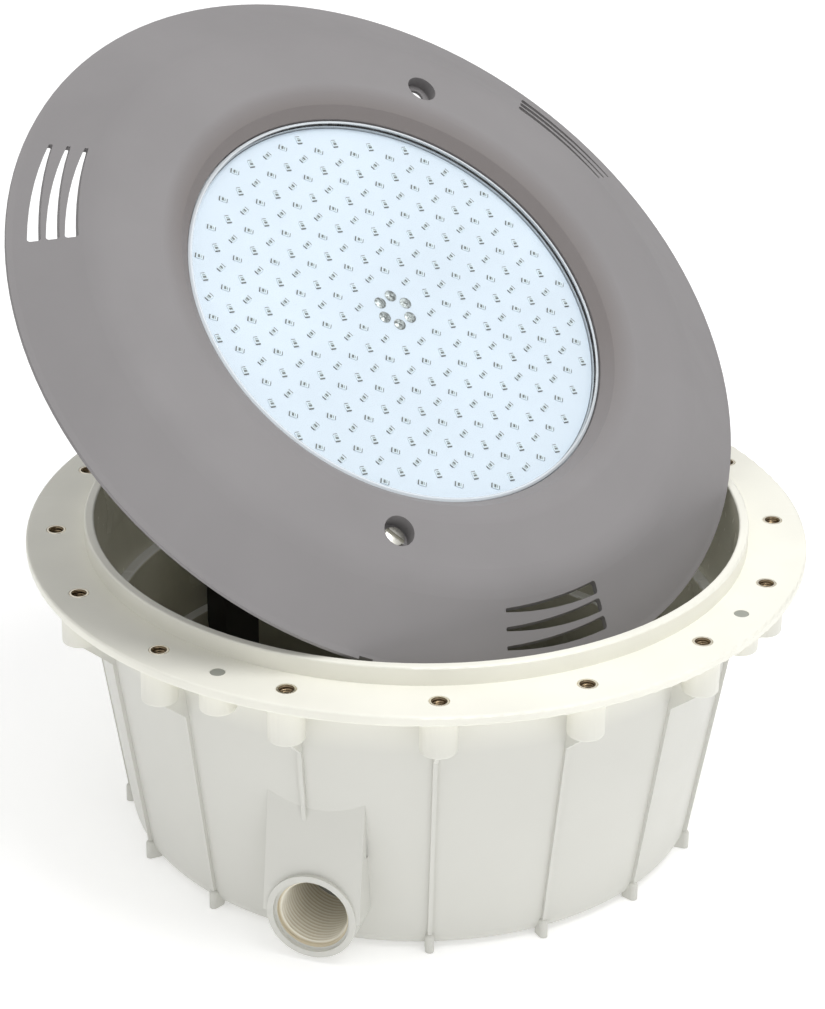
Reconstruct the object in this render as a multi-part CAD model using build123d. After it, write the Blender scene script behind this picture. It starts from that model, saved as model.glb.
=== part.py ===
from build123d import *
import os
from math import cos, sin, radians, sqrt

# Recessed underwater pool light: a niche that stands on its base, with the light unit leaning in its mouth.
# Units are millimetres. The origin is the centre of the bolt flange's top face, +Z points out of the niche.

# --- Niche ---------------------------------------------------------------------------------------
FLANGE_R = 143.5
FLANGE_T = 4.0
COLLAR_IN_R = 118.5
COLLAR_OUT_R = 122.0
COLLAR_H = 7.0
WALL_R0 = 124.6          # outside wall radius where the cone crosses the flange's top face
WALL_TAPER = 0.16        # outside wall radius lost per millimetre of depth
NICHE_DEPTH = 115.7
FLOOR_T = 3.0
BASE_EDGE_R = 8.0
LEDGE_1_Z = -37.0
LEDGE_1_IN_R = 111.5
LEDGE_2_Z = -72.0
LEDGE_2_IN_R = 105.5
FLOOR_IN_R = 99.5

INSERT_COUNT = 16
INSERT_STEP = 360 / INSERT_COUNT
INSERT_START = 3.6       # azimuth of the first insert, degrees
INSERT_CIRCLE_R = 132.5
INSERT_R = 3.65
INSERT_BORE_R = 2.1
INSERT_L = 12.0
BOSS_R = 6.5
BOSS_BOTTOM_Z = -19.2
RIB_T = 1.6
RIB_PROUD = 1.4
GUSSET_END_Z = -31.0     # where a boss's gusset meets the wall
FOOT_W = 3.2
FOOT_L = 6.4
FOOT_TOP_Z = -108.5
PLUG_R = 2.7             # blanking plugs between the inserts
PLUG_T = 1.0
PLUG_START = -120.2
PLUG_COUNT = 4
PLUG_BOSS_BOTTOM_Z = -14.0

PORT_AZ = -106.9
PORT_Z = -97.2
PORT_FACE_R = 120.5      # distance of the port's mouth from the niche axis
PORT_OUT_R = 16.5
PORT_BORE_R = 13.2
PORT_DEPTH = 34.5        # from the mouth to the open end inside the niche
PORT_LIP_R = 14.2
PORT_LIP_DEPTH = 1.6
PAD_TOP_Z = -50.0
PAD_HALF_W = 17.8
PAD_SETBACK = 5.6        # how far the pad's face has sunk into the wall at its top

# --- Posts that take the face screws -------------------------------------------------------------
POST_AZ = 137.0
POST_W = 18.0
POST_IN_R = 93.5
POST_OUT_R = 105.0
POST_TOP_Z = -30.0
POST_FOOT_W = 34.0
POST_FOOT_H = 4.0
POST_SCREW_OFFSET = 12.5

# --- Light unit, in its own frame: Z is the light's axis, Z = 0 the plane of the face ring's outer edge
RING_R = 145.0
RING_EDGE_T = 2.5
OPENING_R = 82.4
SLOT_RADII = (125.1, 130.8, 136.5)
SLOT_WIDE = 4.2
SLOT_TIP = 1.2
SLOT_SPAN = 19.0
SLOT_GROUPS = (-49.5, 70.0, 187.3)
HOLE_ANGLE = 40.0        # the empty screw hole
SCREW_ANGLE = 217.4      # the hole that holds the screw
NOTCH_ANGLE = 218.7      # locating notch in the ring's edge, by the screw
NOTCH_W = 5.0
NOTCH_DEPTH = 1.0
SCREW_CIRCLE_R = 101.5
SCREW_HOLE_R = 3.35
COUNTERBORE_R = 5.7
BORE_FLOOR_Z = 12.0
BORE_FLOOR_T = 1.2

LENS_FLANGE_R = 88.5
HOUSING_FLANGE_R = 94.0
HOUSING_FLANGE_TOP = 4.0
HOUSING_FLANGE_BOTTOM = 0.6
HOUSING_REAR_Z = -45.0
HOUSING_WALL = 3.0
SPREADER_BACK_Z = 2.2
SPREADER_T = 5.2
BOARD_T = 1.6
BOARD_R = 80.4
BOARD_TOP = SPREADER_BACK_Z + SPREADER_T + BOARD_T

LED_PITCH = 8.6
LED_LATTICE_ANGLE = 8.0
LED_FIELD_R = 77.0
LED_CLEAR_R = 11.5
LED_L = 3.5
LED_W = 2.6
LED_H = 0.8
TERMINAL_COUNT = 6
TERMINAL_START = 12.0
TERMINAL_CIRCLE_R = 6.1
TERMINAL_R = 2.3
PIN_R = 0.6

DRIVER_R = 58.0
DRIVER_Z = -10.0
DRIVER_T = 1.6
STANDOFF_CIRCLE_R = 50.0
GLAND_BORE_R = 4.6

CLIP_ANGLES = (-5.0, 85.0, 175.0, 265.0)
CLIP_W = 14.0
CLIP_SCREW_R = 101.5
CLIP_TOP = HOUSING_FLANGE_BOTTOM

SHANK_R = 3.0
SHANK_L = 50.5
HEAD_R = 3.85
HEAD_H = 2.2
HEAD_SLOT_W = 1.3
HEAD_SLOT_DEPTH = 1.1
HEAD_SLOT_TURN = -65.0
RETAINER_R = 6.0
RETAINER_T = 1.5
SCREW_FLOAT = 5.0
HEAD_GAP = 0.03          # between the screw head and the floor of its counterbore
SHAFT_CLEARANCE = 0.05
FIT = 0.05

# --- Where the light leans in the niche's mouth --------------------------------------------------
LEAN_TILT = 38.11
LEAN_AZ = -46.26
LEAN_CENTRE = (-12.7, 13.2, 74.6)


def polar(radius, angle):
    """Point at an angle counter-clockwise from +X."""
    return radius * cos(radians(angle)), radius * sin(radians(angle))


def wall_r(z):
    return WALL_R0 + WALL_TAPER * z


def turned(points, rounds=()):
    """Solid of revolution about Z from a closed (r, z) outline; rounds holds (r, z, fillet radius)."""
    face = Plane.XZ * make_face(Polyline(*points, close=True))
    for r, z, radius in rounds:
        corner = face.vertices().sort_by_distance(Vector(r, 0, z))[0]
        face = fillet(corner, radius)
    return revolve(face, Axis.Z)


def disc(radius, z0, z1):
    return Pos(0, 0, z0) * Cylinder(radius, z1 - z0, align=(Align.CENTER, Align.CENTER, Align.MIN))


def tube(outer, inner, z0, z1):
    return disc(outer, z0, z1) - disc(inner, z0 - 1, z1 + 1)


def at(angle, radius, shape):
    """Turn a shape that is drawn on +X at the origin out to a place on a circle."""
    return Rot(0, 0, angle) * Pos(radius, 0, 0) * shape


def joined(shape, others):
    for other in others:
        shape = shape + other
    return shape


def group(shapes):
    return Compound([solid for shape in shapes for solid in shape.solids()])


# --- Niche parts ---------------------------------------------------------------------------------
def insert_angles():
    return [INSERT_START + INSERT_STEP * k for k in range(INSERT_COUNT)]


def niche_bucket():
    """Flange, collar and tapered bucket with two ledges inside, as one turned body."""
    base_r = wall_r(-NICHE_DEPTH)
    outline = [
        (0, -NICHE_DEPTH),
        (base_r, -NICHE_DEPTH),
        (wall_r(-FLANGE_T), -FLANGE_T),
        (FLANGE_R, -FLANGE_T),
        (FLANGE_R, 0),
        (COLLAR_OUT_R, 0),
        (COLLAR_OUT_R, COLLAR_H),
        (COLLAR_IN_R, COLLAR_H),
        (COLLAR_IN_R, -19.0),
        (LEDGE_1_IN_R + 4.3, LEDGE_1_Z),
        (LEDGE_1_IN_R, LEDGE_1_Z),
        (LEDGE_2_IN_R + 4.0, LEDGE_2_Z),
        (LEDGE_2_IN_R, LEDGE_2_Z),
        (FLOOR_IN_R, FLOOR_T - NICHE_DEPTH),
        (0, FLOOR_T - NICHE_DEPTH),
    ]
    rounds = [
        (base_r, -NICHE_DEPTH, BASE_EDGE_R),
        (FLANGE_R, -FLANGE_T, 1.2),
        (FLANGE_R, 0, 1.0),
        (COLLAR_OUT_R, COLLAR_H, 0.8),
        (COLLAR_IN_R, COLLAR_H, 0.8),
        (LEDGE_1_IN_R, LEDGE_1_Z, 1.0),
        (LEDGE_2_IN_R, LEDGE_2_Z, 1.0),
        (FLOOR_IN_R, FLOOR_T - NICHE_DEPTH, 5.0),
    ]
    return turned(outline, rounds)


def outside_rib():
    """Thin rib from under an insert boss down the tapered wall."""
    top = BOSS_BOTTOM_Z + 2
    outline = [
        (wall_r(top) - 1.5, top),
        (INSERT_CIRCLE_R + 2.5, top),
        (INSERT_CIRCLE_R + 1.0, BOSS_BOTTOM_Z - 1.5),
        (wall_r(GUSSET_END_Z) + RIB_PROUD, GUSSET_END_Z),
        (wall_r(FOOT_TOP_Z) + RIB_PROUD, FOOT_TOP_Z),
        (wall_r(FOOT_TOP_Z) - 1.5, FOOT_TOP_Z),
    ]
    face = Plane.XZ * make_face(Polyline(*outline, close=True))
    return extrude(face, RIB_T / 2, both=True)


def foot():
    """Rounded foot that ends a rib at the bottom rim, longer than it is wide."""
    foot_r = wall_r(FOOT_TOP_Z) - 0.9
    post = extrude(SlotOverall(FOOT_L, FOOT_W), NICHE_DEPTH + FOOT_TOP_Z)
    post = fillet(post.edges().group_by(Axis.Z)[-1], 1.2)
    return Pos(foot_r, 0, -NICHE_DEPTH) * post


def port_frame():
    """Plane at the port's mouth: its Z points outwards, its Y points up."""
    x, y = polar(PORT_FACE_R, PORT_AZ)
    side = Vector(-sin(radians(PORT_AZ)), cos(radians(PORT_AZ)), 0)
    outward = Vector(cos(radians(PORT_AZ)), sin(radians(PORT_AZ)), 0)
    return Plane(origin=(x, y, PORT_Z), x_dir=side, z_dir=outward)


def port_boss():
    """Round port boss that runs up the wall as a flat-sided pad."""
    pad_h = PAD_TOP_Z - PORT_Z
    length = PORT_FACE_R - 95
    round_end = Cylinder(PORT_OUT_R, length, align=(Align.CENTER, Align.CENTER, Align.MAX))
    corners = [(0, 0, 0), (0, pad_h, -PAD_SETBACK), (0, pad_h, -length), (0, 0, -length)]
    side_view = Polyline(*corners, close=True)
    pad = extrude(make_face(side_view), PAD_HALF_W, dir=(1, 0, 0), both=True)
    boss = round_end + pad
    inside = disc(LEDGE_2_IN_R + 2.5, -NICHE_DEPTH, LEDGE_2_Z - 1) + disc(LEDGE_1_IN_R + 3, LEDGE_2_Z - 2, 0)
    sleeve = Cylinder(PORT_OUT_R, PORT_DEPTH, align=(Align.CENTER, Align.CENTER, Align.MAX))
    return (port_frame().location * boss) - inside + port_frame().location * sleeve


def port_bore():
    """Threaded bore, open to the inside of the niche, with a lip at the mouth."""
    bore = Cylinder(PORT_BORE_R, PORT_DEPTH + 1, align=(Align.CENTER, Align.CENTER, Align.MAX))
    lip = Cylinder(PORT_LIP_R, PORT_LIP_DEPTH, align=(Align.CENTER, Align.CENTER, Align.MAX))
    return port_frame().location * (bore + lip)


def niche_shell():
    shell = niche_bucket()
    boss = Pos(0, 0, BOSS_BOTTOM_Z) * Cylinder(
        BOSS_R, -BOSS_BOTTOM_Z - FLANGE_T / 2, align=(Align.CENTER, Align.CENTER, Align.MIN)
    )
    boss = fillet(boss.edges().sort_by(Axis.Z)[0], 1.0)
    rib = outside_rib()
    support = foot()
    plug_boss = Pos(0, 0, PLUG_BOSS_BOTTOM_Z) * Cylinder(
        BOSS_R, -PLUG_BOSS_BOTTOM_Z - FLANGE_T / 2, align=(Align.CENTER, Align.CENTER, Align.MIN)
    )
    plug_boss = fillet(plug_boss.edges().sort_by(Axis.Z)[0], 1.0)
    bosses = [at(a, INSERT_CIRCLE_R, boss) for a in insert_angles()]
    bosses += [at(a, INSERT_CIRCLE_R, plug_boss) for a in plug_angles()]
    bosses = [b - disc(COLLAR_IN_R + 1.5, -40, 10) for b in bosses]
    ribs = [Rot(0, 0, a) * rib for a in insert_angles()]
    feet = [Rot(0, 0, a) * support for a in insert_angles()]
    shell = joined(shell, bosses + ribs + feet + [port_boss()])
    hole = Pos(0, 0, 1) * Cylinder(INSERT_R, INSERT_L + 2, align=(Align.CENTER, Align.CENTER, Align.MAX))
    seat = Pos(0, 0, 1) * Cylinder(PLUG_R, PLUG_T + 1, align=(Align.CENTER, Align.CENTER, Align.MAX))
    cuts = [at(a, INSERT_CIRCLE_R, hole) for a in insert_angles()]
    cuts += [at(a, INSERT_CIRCLE_R, seat) for a in plug_angles()]
    cuts += [port_bore()]
    cuts += post_screw_holes()
    for cut in cuts:
        shell = shell - cut
    return shell


def flange_inserts():
    body = Cylinder(INSERT_R, INSERT_L, align=(Align.CENTER, Align.CENTER, Align.MAX))
    body = body - Cylinder(INSERT_BORE_R, 3 * INSERT_L)
    return group([at(a, INSERT_CIRCLE_R, body) for a in insert_angles()])


def plug_angles():
    return [PLUG_START + 360 / PLUG_COUNT * k for k in range(PLUG_COUNT)]


def blanking_plugs():
    plug = Cylinder(PLUG_R, PLUG_T - 0.1, align=(Align.CENTER, Align.CENTER, Align.MAX))
    plug = Pos(0, 0, -0.1) * chamfer(plug.edges().sort_by(Axis.Z)[-1], 0.2)
    return group([at(a, INSERT_CIRCLE_R, plug) for a in plug_angles()])


def post_angles():
    return POST_AZ, POST_AZ + 180


def post_floor():
    return FLOOR_T - NICHE_DEPTH


def anchor_posts():
    """Upright posts inside the niche, each with a foot plate on the floor."""
    centre = (POST_IN_R + POST_OUT_R) / 2
    depth = POST_OUT_R - POST_IN_R
    low = (Align.CENTER, Align.CENTER, Align.MIN)
    foot_depth = 11.0
    upright = Pos(centre, 0, post_floor()) * Box(depth, POST_W, POST_TOP_Z - post_floor(), align=low)
    plate = Pos(post_screw_r(), 0, post_floor()) * Box(foot_depth, POST_FOOT_W, POST_FOOT_H, align=low)
    inner = wall_inner_space()
    post = (upright & inner) + plate
    post = post - Pos(SCREW_CIRCLE_R, 0, POST_TOP_Z + 1) * Cylinder(
        INSERT_R, INSERT_L + 2, align=(Align.CENTER, Align.CENTER, Align.MAX)
    )
    hole = Cylinder(1.75, 30)
    for side in (-1, 1):
        post = post - Pos(post_screw_r(), side * POST_SCREW_OFFSET, post_floor()) * hole
    return group([Rot(0, 0, a) * post for a in post_angles()])


def wall_inner_space():
    """Space inside the lower bucket, kept a little off the wall."""
    gap = 0.4
    outline = [
        (0, post_floor()),
        (FLOOR_IN_R - 6.5, post_floor()),
        (FLOOR_IN_R - 1.0, post_floor() + 6),
        (LEDGE_2_IN_R - 1.2, LEDGE_2_Z - 3),
        (LEDGE_2_IN_R - gap, 0),
        (0, 0),
    ]
    return turned(outline)


def post_screw_r():
    return FLOOR_IN_R - 13.0


def post_screw_holes():
    shank = Pos(0, 0, post_floor() - 2.2) * Cylinder(1.5, 4, align=(Align.CENTER, Align.CENTER, Align.MIN))
    spots = [Pos(post_screw_r(), side * POST_SCREW_OFFSET, 0) * shank for side in (-1, 1)]
    return [Rot(0, 0, a) * spot for a in post_angles() for spot in spots]


def pan_screw(shank_r, shank_l, head_r, head_h):
    """Cross-slotted pan-head screw: shank below Z = 0, head above."""
    shank = Cylinder(shank_r, shank_l, align=(Align.CENTER, Align.CENTER, Align.MAX))
    head = Cylinder(head_r, head_h, align=(Align.CENTER, Align.CENTER, Align.MIN))
    head = fillet(head.edges().sort_by(Axis.Z)[-1], head_h * 0.45)
    slot = Pos(0, 0, head_h) * Box(head_r * 1.2, head_r * 0.28, head_h, align=(Align.CENTER,) * 3)
    return shank + head - slot - Rot(0, 0, 90) * slot


def post_screws():
    screw = Pos(0, 0, post_floor() + POST_FOOT_H) * pan_screw(1.45, POST_FOOT_H + 2.0, 2.9, 2.0)
    spots = [Pos(post_screw_r(), side * POST_SCREW_OFFSET, 0) * screw for side in (-1, 1)]
    return group([Rot(0, 0, a) * spot for a in post_angles() for spot in spots])


def anchor_inserts():
    body = Cylinder(INSERT_R - FIT, INSERT_L, align=(Align.CENTER, Align.CENTER, Align.MAX))
    body = body - Cylinder(SHANK_R - 0.4, 3 * INSERT_L)
    return group([at(a, SCREW_CIRCLE_R, Pos(0, 0, POST_TOP_Z) * body) for a in post_angles()])


# --- Light parts (light frame) -------------------------------------------------------------------
def ring_angle(angle):
    """Light-frame angle from the up-slope direction, turned into an angle from +X."""
    return 90 - angle


def face_ring():
    """Domed ring: sloping outer band, nearly flat annulus, bevelled recess round the opening."""
    outline = [
        (OPENING_R, 12.4),
        (86.2, 16.2),
        (92.8, 18.6),
        (117.0, 16.0),
        (RING_R - 2.0, 0.9),
        (RING_R, 0),
        (RING_R, -RING_EDGE_T + 1.0),
        (RING_R - 1.0, -RING_EDGE_T),
        (RING_R - 2.4, -RING_EDGE_T),
        (RING_R - 2.6, -1.0),
        (116.3, 13.8),
        (94.5, 15.4),
        (88.6, 14.0),
        (84.6, 10.4),
        (OPENING_R, 10.4),
    ]
    rounds = [
        (92.8, 18.6, 9.0),
        (117.0, 16.0, 26.0),
        (RING_R - 2.0, 0.9, 4.0),
    ]
    ring = turned(outline, rounds)
    boss = disc(7.2, BORE_FLOOR_Z - BORE_FLOOR_T, 16.0)
    cut = disc(COUNTERBORE_R, BORE_FLOOR_Z, 30) + disc(SCREW_HOLE_R, 0, 30)
    for angle in (HOLE_ANGLE, SCREW_ANGLE):
        ring = ring + at(ring_angle(angle), SCREW_CIRCLE_R, boss)
    post = tube(4.5, 1.5, CLIP_TOP, 15.6)
    for angle in CLIP_ANGLES:
        ring = ring + at(ring_angle(angle), CLIP_SCREW_R, post)
    for angle in (HOLE_ANGLE, SCREW_ANGLE):
        ring = ring - at(ring_angle(angle), SCREW_CIRCLE_R, cut)
    for centre in SLOT_GROUPS:
        for radius in SLOT_RADII:
            ring = ring - slot_cut(radius, ring_angle(centre))
    return ring - at(ring_angle(NOTCH_ANGLE), RING_R, Box(2 * NOTCH_DEPTH, NOTCH_W, 4 * RING_EDGE_T))


def slot_cut(radius, angle):
    """Curved slot, wide at one end and drawn out to a narrow tip, cut straight through."""
    wide = SLOT_WIDE / 2
    tip = SLOT_TIP / 2
    middle = (wide + tip) / 2 + 0.2
    start = angle + SLOT_SPAN / 2
    end = angle - SLOT_SPAN / 2
    outer_ends = polar(radius + wide, start), polar(radius + tip, end)
    inner_ends = polar(radius - tip, end), polar(radius - wide, start)
    outer = ThreePointArc(outer_ends[0], polar(radius + middle, angle), outer_ends[1])
    inner = ThreePointArc(inner_ends[0], polar(radius - middle, angle), inner_ends[1])
    face = make_face([outer, Line(outer @ 1, inner @ 0), inner, Line(inner @ 1, outer @ 0)])
    face = fillet(face.vertices().sort_by_distance(Vector(*polar(radius, start)))[:2], 1.1)
    face = fillet(face.vertices().sort_by_distance(Vector(*polar(radius, end)))[:2], 0.4)
    return Pos(0, 0, -10) * extrude(face, 40)


def lens():
    outline = [
        (0, 10.0),
        (80.9, 10.0),
        (80.9, 6.4),
        (LENS_FLANGE_R, 6.4),
        (LENS_FLANGE_R, 10.1),
        (81.9, 10.1),
        (81.9, 11.7),
        (81.2, 12.3),
        (0, 12.3),
    ]
    return turned(outline)


def lens_gasket():
    return tube(87.6, 82.6, HOUSING_FLANGE_TOP, 6.4)


def lens_clamp_ring():
    outline = [
        (86.9, 10.1),
        (LENS_FLANGE_R + 0.3, 10.1),
        (LENS_FLANGE_R + 0.3, HOUSING_FLANGE_TOP),
        (HOUSING_FLANGE_R, HOUSING_FLANGE_TOP),
        (HOUSING_FLANGE_R, 11.0),
        (HOUSING_FLANGE_R - 1.2, 12.2),
        (86.9, 12.2),
    ]
    ring = turned(outline)
    for k in range(8):
        ring = ring - at(22.5 + 45 * k, clamp_screw_r(), disc(1.0, 0, 8.6))
    return ring


def clamp_screw_r():
    return (LENS_FLANGE_R + 0.3 + HOUSING_FLANGE_R) / 2


def clamp_screws():
    """Screws that go through the housing flange from behind into the clamp ring."""
    screw = Rot(180, 0, 0) * pan_screw(0.95, 7.8, 2.0, 1.4)
    screw = Pos(0, 0, HOUSING_FLANGE_BOTTOM) * screw
    return group([at(22.5 + 45 * k, clamp_screw_r(), screw) for k in range(8)])


def heat_spreader():
    plate = disc(79.6, SPREADER_BACK_Z, SPREADER_BACK_Z + SPREADER_T)
    return plate - disc(9.5, -5, 10)


def led_board():
    board = disc(BOARD_R, BOARD_TOP - BOARD_T, BOARD_TOP)
    for angle in terminal_angles():
        board = board - at(angle, TERMINAL_CIRCLE_R, disc(PIN_R + FIT, 0, 20))
    return board


def led_spots(kind):
    """Lattice points of one of the three orientations, clear of the middle and of the rim."""
    spots = []
    reach = int(LED_FIELD_R / LED_PITCH * 1.3) + 1
    for i in range(-reach, reach + 1):
        for j in range(-reach, reach + 1):
            if (i - j) % 3 != kind:
                continue
            x = LED_PITCH * (i + 0.5 * j)
            y = LED_PITCH * j * sqrt(3) / 2
            if LED_CLEAR_R < sqrt(x * x + y * y) < LED_FIELD_R:
                spots.append((x, y))
    return spots


def led_emitters(kind):
    """Surface-mount LEDs of one orientation, all standing on the board."""
    package = Box(LED_L, LED_W, LED_H, align=(Align.CENTER, Align.CENTER, Align.MIN))
    turn = Rot(0, 0, 12 + 120 * kind)
    leds = [Pos(x, y, BOARD_TOP) * turn * package for x, y in led_spots(kind)]
    return group([Rot(0, 0, LED_LATTICE_ANGLE) * led for led in leds])


def terminal_angles():
    return [TERMINAL_START + 360 / TERMINAL_COUNT * k for k in range(TERMINAL_COUNT)]


def board_terminals():
    pad = disc(TERMINAL_R, BOARD_TOP, BOARD_TOP + 0.6) - disc(PIN_R + FIT, 0, 20)
    return group([at(angle, TERMINAL_CIRCLE_R, pad) for angle in terminal_angles()])


def terminal_pins():
    pin = disc(PIN_R, DRIVER_Z + DRIVER_T, BOARD_TOP + 0.9)
    return group([at(angle, TERMINAL_CIRCLE_R, pin) for angle in terminal_angles()])


def housing_inside():
    outline = [
        (0, HOUSING_REAR_Z + HOUSING_WALL),
        (58.0, HOUSING_REAR_Z + HOUSING_WALL),
        (74.0, -14.0),
        (76.5, SPREADER_BACK_Z),
        (79.9, SPREADER_BACK_Z),
        (79.9, HOUSING_FLANGE_TOP + 1),
        (0, HOUSING_FLANGE_TOP + 1),
    ]
    return turned(outline)


def lamp_housing():
    """Rear cup of the lamp: flange, tapered wall, round rear edge and the gland boss."""
    outline = [
        (0, HOUSING_REAR_Z),
        (62.0, HOUSING_REAR_Z),
        (78.0, -15.0),
        (84.0, HOUSING_FLANGE_BOTTOM),
        (HOUSING_FLANGE_R, HOUSING_FLANGE_BOTTOM),
        (HOUSING_FLANGE_R, HOUSING_FLANGE_TOP),
        (0, HOUSING_FLANGE_TOP),
    ]
    cup = turned(outline, [(62.0, HOUSING_REAR_Z, 10.0), (78.0, -15.0, 30.0)])
    cup = cup + disc(17.0, HOUSING_REAR_Z - 4, HOUSING_REAR_Z + 1)
    for k in range(6):
        low = (Align.CENTER, Align.CENTER, Align.MIN)
        fin = Pos(40, 0, HOUSING_REAR_Z - 1.6) * Box(34, 2.4, 4, align=low)
        cup = cup + Rot(0, 0, 30 + 60 * k) * fin
    cup = cup - housing_inside()
    cup = cup - disc(gland_thread_r(), -60, -20)
    for k in range(8):
        cup = cup - at(22.5 + 45 * k, clamp_screw_r(), disc(1.0, -2, 8))
    for angle in standoff_angles():
        x, y = polar(STANDOFF_CIRCLE_R, angle)
        cup = cup + Pos(x, y, 0) * disc(4.0, HOUSING_REAR_Z + HOUSING_WALL - 0.5, HOUSING_REAR_Z + 6)
    return cup


def gland_thread_r():
    return 8.0


def standoff_angles():
    return [45 + 90 * k for k in range(4)]


def driver_board():
    board = disc(DRIVER_R, DRIVER_Z, DRIVER_Z + DRIVER_T)
    for angle in standoff_angles():
        board = board - at(angle, STANDOFF_CIRCLE_R, disc(1.5, -20, 0))
    return board


def driver_standoffs():
    return group([
        at(angle, STANDOFF_CIRCLE_R, tube(3.0, 1.3, HOUSING_REAR_Z + 6, DRIVER_Z))
        for angle in standoff_angles()
    ])


def driver_screws():
    screw = Pos(0, 0, DRIVER_Z + DRIVER_T) * pan_screw(1.25, 8.0, 2.6, 1.8)
    return group([at(angle, STANDOFF_CIRCLE_R, screw) for angle in standoff_angles()])


def driver_capacitors():
    can = fillet(disc(7.0, DRIVER_Z - 22, DRIVER_Z).edges().sort_by(Axis.Z)[0], 1.2)
    return group([Pos(x, y, 0) * can for x, y in ((24, -8), (24, 10), (-6, -32))])


def driver_choke():
    return Pos(-26, 12, DRIVER_Z - 4.7) * Torus(9.0, 4.6)


def driver_chips():
    """Controller and power transistors on the front of the driver board."""
    low = (Align.CENTER, Align.CENTER, Align.MIN)
    top = DRIVER_Z + DRIVER_T
    controller = Pos(-20, -18, top) * Box(12, 12, 1.4, align=low)
    drivers = [Pos(22, -24 + 12 * k, top) * Box(6.5, 6.0, 2.3, align=low) for k in range(4)]
    return group([controller] + drivers)


def driver_connector():
    """Terminal block on the rear of the driver board, over the gland."""
    low = (Align.CENTER, Align.CENTER, Align.MAX)
    block = Pos(0, 34, DRIVER_Z) * Box(24, 9, 11, align=low)
    for k in range(4):
        block = block - Pos(-9 + 6 * k, 34, DRIVER_Z - 11) * Cylinder(1.7, 14)
    return block


def hexagon(across, z0, z1):
    prism = extrude(RegularPolygon(across / sqrt(3), 6), z1 - z0)
    return Pos(0, 0, z0) * prism


GLAND_FACE_Z = HOUSING_REAR_Z - 4


def cable_gland():
    """Gland body: thread in the housing, hexagon against the washer, thread for the cap nut."""
    seat = GLAND_FACE_Z - 1.5
    body = disc(gland_thread_r() - FIT, seat - 1, HOUSING_REAR_Z + 7) + hexagon(22.0, seat - 5, seat)
    body = body + disc(8.2, seat - 13, seat - 4)
    return body - disc(GLAND_BORE_R + 1.6, seat - 20, seat - 6) - disc(GLAND_BORE_R, seat - 20, 0)


def gland_washer():
    return tube(11.0, gland_thread_r(), GLAND_FACE_Z - 1.5, GLAND_FACE_Z)


def gland_seal():
    seat = GLAND_FACE_Z - 1.5
    return tube(GLAND_BORE_R + 1.5, GLAND_BORE_R, seat - 14.5, seat - 6.2)


def gland_nut():
    seat = GLAND_FACE_Z - 1.5
    top = seat - 5.6
    nut = hexagon(21.0, top - 7, top)
    nut = nut + Pos(0, 0, top - 13) * Cone(6.8, 10.4, 6.2, align=(Align.CENTER, Align.CENTER, Align.MIN))
    nut = nut - disc(8.2 + FIT, seat - 15, 0)
    return nut - disc(GLAND_BORE_R + 0.4, -100, 0)


def clip():
    """Flat clip from a post of the face ring to under the flange of the lamp housing."""
    low = (Align.CENTER, Align.CENTER, Align.MAX)
    strip = Pos(96.8, 0, CLIP_TOP) * Box(20.4, CLIP_W, 2.0, align=low)
    strip = fillet(strip.edges().filter_by(Axis.Z), 3.0)
    return strip - Pos(CLIP_SCREW_R, 0, 0) * Cylinder(1.75, 20)


def lamp_clips():
    return group([Rot(0, 0, ring_angle(a)) * clip() for a in CLIP_ANGLES])


def clip_screws():
    screw = Pos(0, 0, CLIP_TOP - 2.0) * (Rot(180, 0, 0) * pan_screw(1.45, 11.0, 3.2, 2.2))
    return group([at(ring_angle(a), CLIP_SCREW_R, screw) for a in CLIP_ANGLES])


def screw_place():
    x, y = polar(SCREW_CIRCLE_R, ring_angle(SCREW_ANGLE))
    return Pos(x, y, BORE_FLOOR_Z + HEAD_GAP)


def face_screw():
    """Slotted screw: its head rests on the floor of the counterbore."""
    head = Cylinder(HEAD_R, HEAD_H, align=(Align.CENTER, Align.CENTER, Align.MIN))
    head = chamfer(head.edges().sort_by(Axis.Z)[-1], 0.5)
    slot = Box(3 * HEAD_R, HEAD_SLOT_W, 2 * HEAD_SLOT_DEPTH)
    head = head - Pos(0, 0, HEAD_H) * Rot(0, 0, HEAD_SLOT_TURN) * slot
    shank = Cylinder(SHANK_R, SHANK_L, align=(Align.CENTER, Align.CENTER, Align.MAX))
    shank = chamfer(shank.edges().sort_by(Axis.Z)[0], 0.9)
    return screw_place() * (head + shank)


def screw_retainer():
    top = -BORE_FLOOR_T - SCREW_FLOAT - 0.3
    washer = tube(RETAINER_R, SHANK_R + SHAFT_CLEARANCE, top - RETAINER_T, top)
    return screw_place() * washer


def light_location():
    tilt = radians(LEAN_TILT)
    az = radians(LEAN_AZ)
    normal = Vector(sin(tilt) * cos(az), sin(tilt) * sin(az), cos(tilt))
    side = Vector(-sin(az), cos(az), 0)
    return Plane(origin=LEAN_CENTRE, x_dir=side, z_dir=normal).location


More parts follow.
